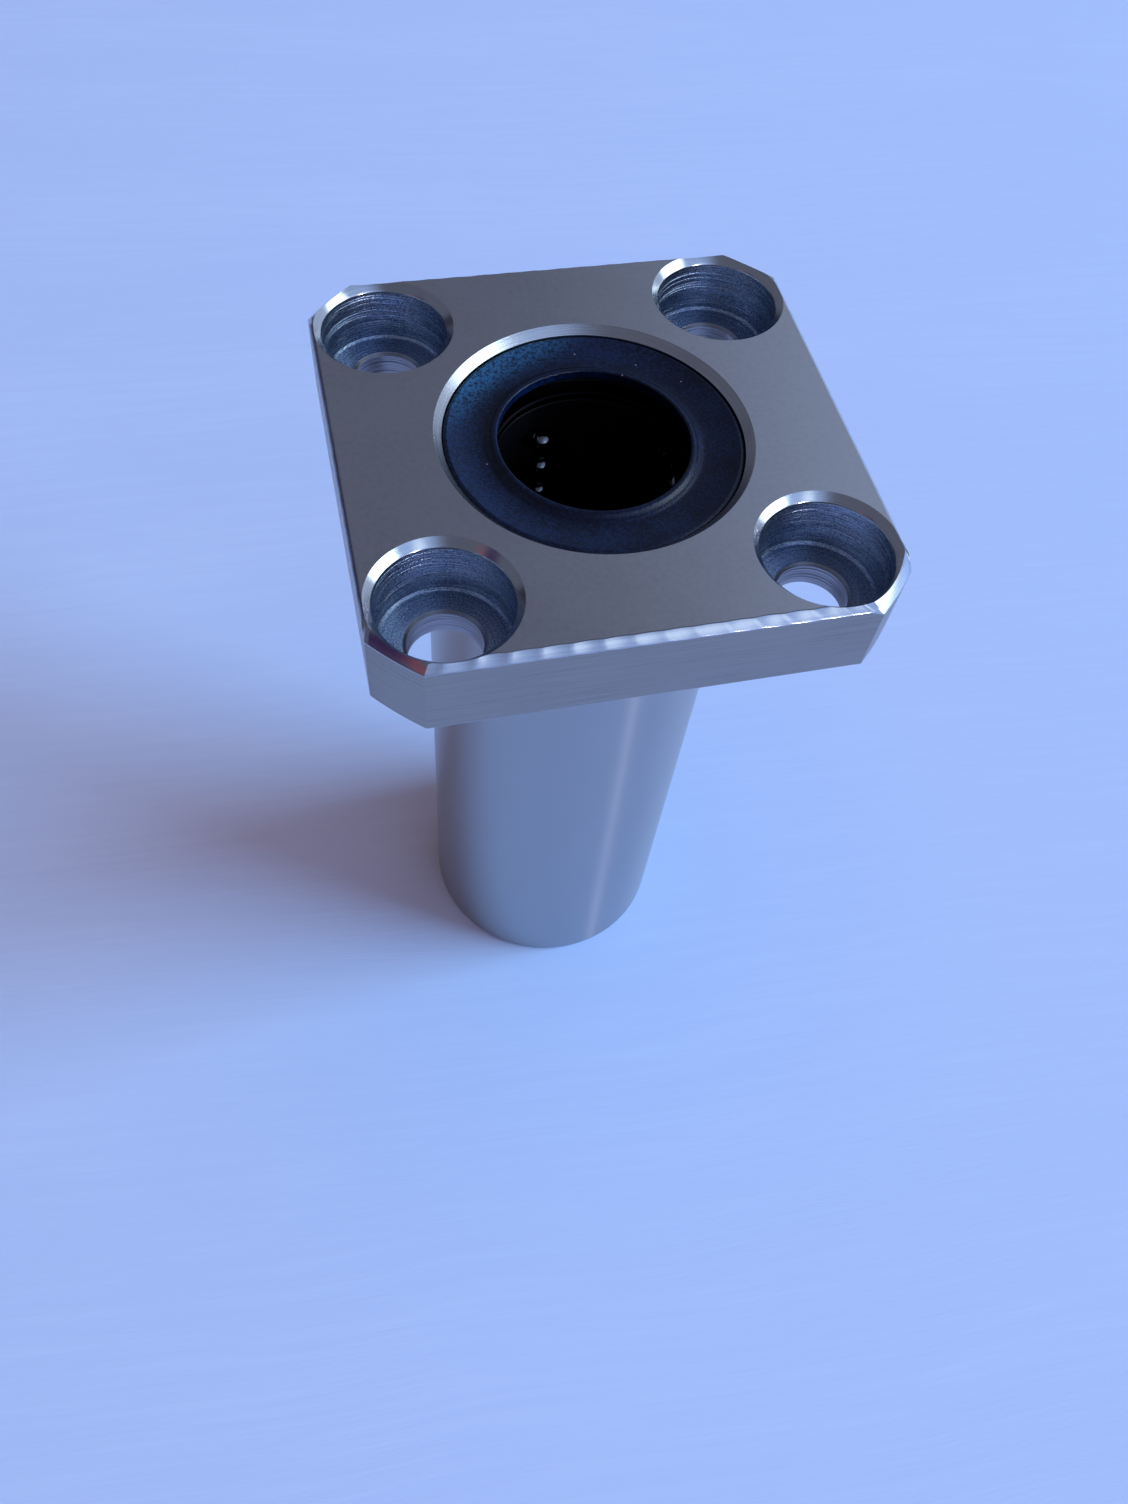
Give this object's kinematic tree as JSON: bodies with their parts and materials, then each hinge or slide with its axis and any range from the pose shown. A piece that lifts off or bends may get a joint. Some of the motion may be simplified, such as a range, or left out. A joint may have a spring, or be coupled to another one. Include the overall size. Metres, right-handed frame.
{
  "type": "square flange linear bearing",
  "caption": "Long linear ball bearing with a square bolt-on flange at one end of a round barrel: recirculating balls carry a round shaft that slides along the bore.",
  "frame": {"origin": "centre of the barrel's end face, where the bearing stands", "axes": "+Z along the shaft bore, from the barrel's end to the flange; X and Y parallel to the flange's sides"},
  "size_m": [0.032, 0.032, 0.057],
  "materials": {
    "sleeve_steel": "satin ground bearing steel",
    "seal_rubber": "matte nitrile rubber",
    "spring_steel": "blued spring steel",
    "ring_steel": "stamped steel",
    "retainer_resin": "moulded resin",
    "ball_steel": "polished bearing steel"
  },
  "bodies": {
    "housing": {"flanged_sleeve": "sleeve_steel", "upper_seal": "seal_rubber", "lower_seal": "seal_rubber", "upper_snap_ring": "spring_steel", "lower_snap_ring": "spring_steel", "upper_end_ring": "ring_steel", "lower_end_ring": "ring_steel", "upper_retainer": "retainer_resin", "lower_retainer": "retainer_resin"},
    "lower_1_load": {"lower_1_load_balls": "ball_steel"},
    "lower_1_return": {"lower_1_return_balls": "ball_steel"},
    "lower_1_top_turn": {"lower_1_top_turn_balls": "ball_steel"},
    "lower_1_bottom_turn": {"lower_1_bottom_turn_balls": "ball_steel"},
    "lower_2_load": {"lower_2_load_balls": "ball_steel"},
    "lower_2_return": {"lower_2_return_balls": "ball_steel"},
    "lower_2_top_turn": {"lower_2_top_turn_balls": "ball_steel"},
    "lower_2_bottom_turn": {"lower_2_bottom_turn_balls": "ball_steel"},
    "lower_3_load": {"lower_3_load_balls": "ball_steel"},
    "lower_3_return": {"lower_3_return_balls": "ball_steel"},
    "lower_3_top_turn": {"lower_3_top_turn_balls": "ball_steel"},
    "lower_3_bottom_turn": {"lower_3_bottom_turn_balls": "ball_steel"},
    "lower_4_load": {"lower_4_load_balls": "ball_steel"},
    "lower_4_return": {"lower_4_return_balls": "ball_steel"},
    "lower_4_top_turn": {"lower_4_top_turn_balls": "ball_steel"},
    "lower_4_bottom_turn": {"lower_4_bottom_turn_balls": "ball_steel"},
    "upper_1_load": {"upper_1_load_balls": "ball_steel"},
    "upper_1_return": {"upper_1_return_balls": "ball_steel"},
    "upper_1_top_turn": {"upper_1_top_turn_balls": "ball_steel"},
    "upper_1_bottom_turn": {"upper_1_bottom_turn_balls": "ball_steel"},
    "upper_2_load": {"upper_2_load_balls": "ball_steel"},
    "upper_2_return": {"upper_2_return_balls": "ball_steel"},
    "upper_2_top_turn": {"upper_2_top_turn_balls": "ball_steel"},
    "upper_2_bottom_turn": {"upper_2_bottom_turn_balls": "ball_steel"},
    "upper_3_load": {"upper_3_load_balls": "ball_steel"},
    "upper_3_return": {"upper_3_return_balls": "ball_steel"},
    "upper_3_top_turn": {"upper_3_top_turn_balls": "ball_steel"},
    "upper_3_bottom_turn": {"upper_3_bottom_turn_balls": "ball_steel"},
    "upper_4_load": {"upper_4_load_balls": "ball_steel"},
    "upper_4_return": {"upper_4_return_balls": "ball_steel"},
    "upper_4_top_turn": {"upper_4_top_turn_balls": "ball_steel"},
    "upper_4_bottom_turn": {"upper_4_bottom_turn_balls": "ball_steel"}
  },
  "joints": [
    {"name": "lower_1_load_slide", "type": "slide", "parent": "housing", "child": "lower_1_load", "axis": [0, 0, 1], "range_m": [0, 0.00242]},
    {"name": "lower_1_return_slide", "type": "slide", "parent": "housing", "child": "lower_1_return", "axis": [0, 0, -1], "range_m": [0, 0.00242]},
    {"name": "lower_1_top_turn_swing", "type": "hinge", "parent": "housing", "child": "lower_1_top_turn", "pos_m": [0.0067, 0.00317, 0.02424], "axis": [-0.9781, -0.2079, 0], "range_deg": [0, 90]},
    {"name": "lower_1_bottom_turn_swing", "type": "hinge", "parent": "housing", "child": "lower_1_bottom_turn", "pos_m": [0.0067, 0.00317, 0.00729], "axis": [-0.9781, -0.2079, 0], "range_deg": [0, 90]},
    {"name": "lower_2_load_slide", "type": "slide", "parent": "housing", "child": "lower_2_load", "axis": [0, 0, 1], "range_m": [0, 0.00242]},
    {"name": "lower_2_return_slide", "type": "slide", "parent": "housing", "child": "lower_2_return", "axis": [0, 0, -1], "range_m": [0, 0.00242]},
    {"name": "lower_2_top_turn_swing", "type": "hinge", "parent": "housing", "child": "lower_2_top_turn", "pos_m": [-0.00317, 0.0067, 0.02424], "axis": [0.2079, -0.9781, 0], "range_deg": [0, 90]},
    {"name": "lower_2_bottom_turn_swing", "type": "hinge", "parent": "housing", "child": "lower_2_bottom_turn", "pos_m": [-0.00317, 0.0067, 0.00729], "axis": [0.2079, -0.9781, 0], "range_deg": [0, 90]},
    {"name": "lower_3_load_slide", "type": "slide", "parent": "housing", "child": "lower_3_load", "axis": [0, 0, 1], "range_m": [0, 0.00242]},
    {"name": "lower_3_return_slide", "type": "slide", "parent": "housing", "child": "lower_3_return", "axis": [0, 0, -1], "range_m": [0, 0.00242]},
    {"name": "lower_3_top_turn_swing", "type": "hinge", "parent": "housing", "child": "lower_3_top_turn", "pos_m": [-0.0067, -0.00317, 0.02424], "axis": [0.9781, 0.2079, 0], "range_deg": [0, 90]},
    {"name": "lower_3_bottom_turn_swing", "type": "hinge", "parent": "housing", "child": "lower_3_bottom_turn", "pos_m": [-0.0067, -0.00317, 0.00729], "axis": [0.9781, 0.2079, 0], "range_deg": [0, 90]},
    {"name": "lower_4_load_slide", "type": "slide", "parent": "housing", "child": "lower_4_load", "axis": [0, 0, 1], "range_m": [0, 0.00242]},
    {"name": "lower_4_return_slide", "type": "slide", "parent": "housing", "child": "lower_4_return", "axis": [0, 0, -1], "range_m": [0, 0.00242]},
    {"name": "lower_4_top_turn_swing", "type": "hinge", "parent": "housing", "child": "lower_4_top_turn", "pos_m": [0.00317, -0.0067, 0.02424], "axis": [-0.2079, 0.9781, 0], "range_deg": [0, 90]},
    {"name": "lower_4_bottom_turn_swing", "type": "hinge", "parent": "housing", "child": "lower_4_bottom_turn", "pos_m": [0.00317, -0.0067, 0.00729], "axis": [-0.2079, 0.9781, 0], "range_deg": [0, 90]},
    {"name": "upper_1_load_slide", "type": "slide", "parent": "housing", "child": "upper_1_load", "axis": [0, 0, 1], "range_m": [0, 0.00242]},
    {"name": "upper_1_return_slide", "type": "slide", "parent": "housing", "child": "upper_1_return", "axis": [0, 0, -1], "range_m": [0, 0.00242]},
    {"name": "upper_1_top_turn_swing", "type": "hinge", "parent": "housing", "child": "upper_1_top_turn", "pos_m": [0.0067, 0.00317, 0.04971], "axis": [-0.9781, -0.2079, 0], "range_deg": [0, 90]},
    {"name": "upper_1_bottom_turn_swing", "type": "hinge", "parent": "housing", "child": "upper_1_bottom_turn", "pos_m": [0.0067, 0.00317, 0.03276], "axis": [-0.9781, -0.2079, 0], "range_deg": [0, 90]},
    {"name": "upper_2_load_slide", "type": "slide", "parent": "housing", "child": "upper_2_load", "axis": [0, 0, 1], "range_m": [0, 0.00242]},
    {"name": "upper_2_return_slide", "type": "slide", "parent": "housing", "child": "upper_2_return", "axis": [0, 0, -1], "range_m": [0, 0.00242]},
    {"name": "upper_2_top_turn_swing", "type": "hinge", "parent": "housing", "child": "upper_2_top_turn", "pos_m": [-0.00317, 0.0067, 0.04971], "axis": [0.2079, -0.9781, 0], "range_deg": [0, 90]},
    {"name": "upper_2_bottom_turn_swing", "type": "hinge", "parent": "housing", "child": "upper_2_bottom_turn", "pos_m": [-0.00317, 0.0067, 0.03276], "axis": [0.2079, -0.9781, 0], "range_deg": [0, 90]},
    {"name": "upper_3_load_slide", "type": "slide", "parent": "housing", "child": "upper_3_load", "axis": [0, 0, 1], "range_m": [0, 0.00242]},
    {"name": "upper_3_return_slide", "type": "slide", "parent": "housing", "child": "upper_3_return", "axis": [0, 0, -1], "range_m": [0, 0.00242]},
    {"name": "upper_3_top_turn_swing", "type": "hinge", "parent": "housing", "child": "upper_3_top_turn", "pos_m": [-0.0067, -0.00317, 0.04971], "axis": [0.9781, 0.2079, 0], "range_deg": [0, 90]},
    {"name": "upper_3_bottom_turn_swing", "type": "hinge", "parent": "housing", "child": "upper_3_bottom_turn", "pos_m": [-0.0067, -0.00317, 0.03276], "axis": [0.9781, 0.2079, 0], "range_deg": [0, 90]},
    {"name": "upper_4_load_slide", "type": "slide", "parent": "housing", "child": "upper_4_load", "axis": [0, 0, 1], "range_m": [0, 0.00242]},
    {"name": "upper_4_return_slide", "type": "slide", "parent": "housing", "child": "upper_4_return", "axis": [0, 0, -1], "range_m": [0, 0.00242]},
    {"name": "upper_4_top_turn_swing", "type": "hinge", "parent": "housing", "child": "upper_4_top_turn", "pos_m": [0.00317, -0.0067, 0.04971], "axis": [-0.2079, 0.9781, 0], "range_deg": [0, 90]},
    {"name": "upper_4_bottom_turn_swing", "type": "hinge", "parent": "housing", "child": "upper_4_bottom_turn", "pos_m": [0.00317, -0.0067, 0.03276], "axis": [-0.2079, 0.9781, 0], "range_deg": [0, 90]}
  ],
  "couplings": [
    {"joint": "lower_1_return_slide", "follows": "lower_1_load_slide", "ratio": 1},
    {"joint": "lower_1_top_turn_swing", "follows": "lower_1_load_slide", "rad_per_m": 648.82},
    {"joint": "lower_1_bottom_turn_swing", "follows": "lower_1_load_slide", "rad_per_m": 648.82},
    {"joint": "lower_2_return_slide", "follows": "lower_2_load_slide", "ratio": 1},
    {"joint": "lower_2_top_turn_swing", "follows": "lower_2_load_slide", "rad_per_m": 648.82},
    {"joint": "lower_2_bottom_turn_swing", "follows": "lower_2_load_slide", "rad_per_m": 648.82},
    {"joint": "lower_3_return_slide", "follows": "lower_3_load_slide", "ratio": 1},
    {"joint": "lower_3_top_turn_swing", "follows": "lower_3_load_slide", "rad_per_m": 648.82},
    {"joint": "lower_3_bottom_turn_swing", "follows": "lower_3_load_slide", "rad_per_m": 648.82},
    {"joint": "lower_4_return_slide", "follows": "lower_4_load_slide", "ratio": 1},
    {"joint": "lower_4_top_turn_swing", "follows": "lower_4_load_slide", "rad_per_m": 648.82},
    {"joint": "lower_4_bottom_turn_swing", "follows": "lower_4_load_slide", "rad_per_m": 648.82},
    {"joint": "upper_1_return_slide", "follows": "upper_1_load_slide", "ratio": 1},
    {"joint": "upper_1_top_turn_swing", "follows": "upper_1_load_slide", "rad_per_m": 648.82},
    {"joint": "upper_1_bottom_turn_swing", "follows": "upper_1_load_slide", "rad_per_m": 648.82},
    {"joint": "upper_2_return_slide", "follows": "upper_2_load_slide", "ratio": 1},
    {"joint": "upper_2_top_turn_swing", "follows": "upper_2_load_slide", "rad_per_m": 648.82},
    {"joint": "upper_2_bottom_turn_swing", "follows": "upper_2_load_slide", "rad_per_m": 648.82},
    {"joint": "upper_3_return_slide", "follows": "upper_3_load_slide", "ratio": 1},
    {"joint": "upper_3_top_turn_swing", "follows": "upper_3_load_slide", "rad_per_m": 648.82},
    {"joint": "upper_3_bottom_turn_swing", "follows": "upper_3_load_slide", "rad_per_m": 648.82},
    {"joint": "upper_4_return_slide", "follows": "upper_4_load_slide", "ratio": 1},
    {"joint": "upper_4_top_turn_swing", "follows": "upper_4_load_slide", "rad_per_m": 648.82},
    {"joint": "upper_4_bottom_turn_swing", "follows": "upper_4_load_slide", "rad_per_m": 648.82}
  ]
}
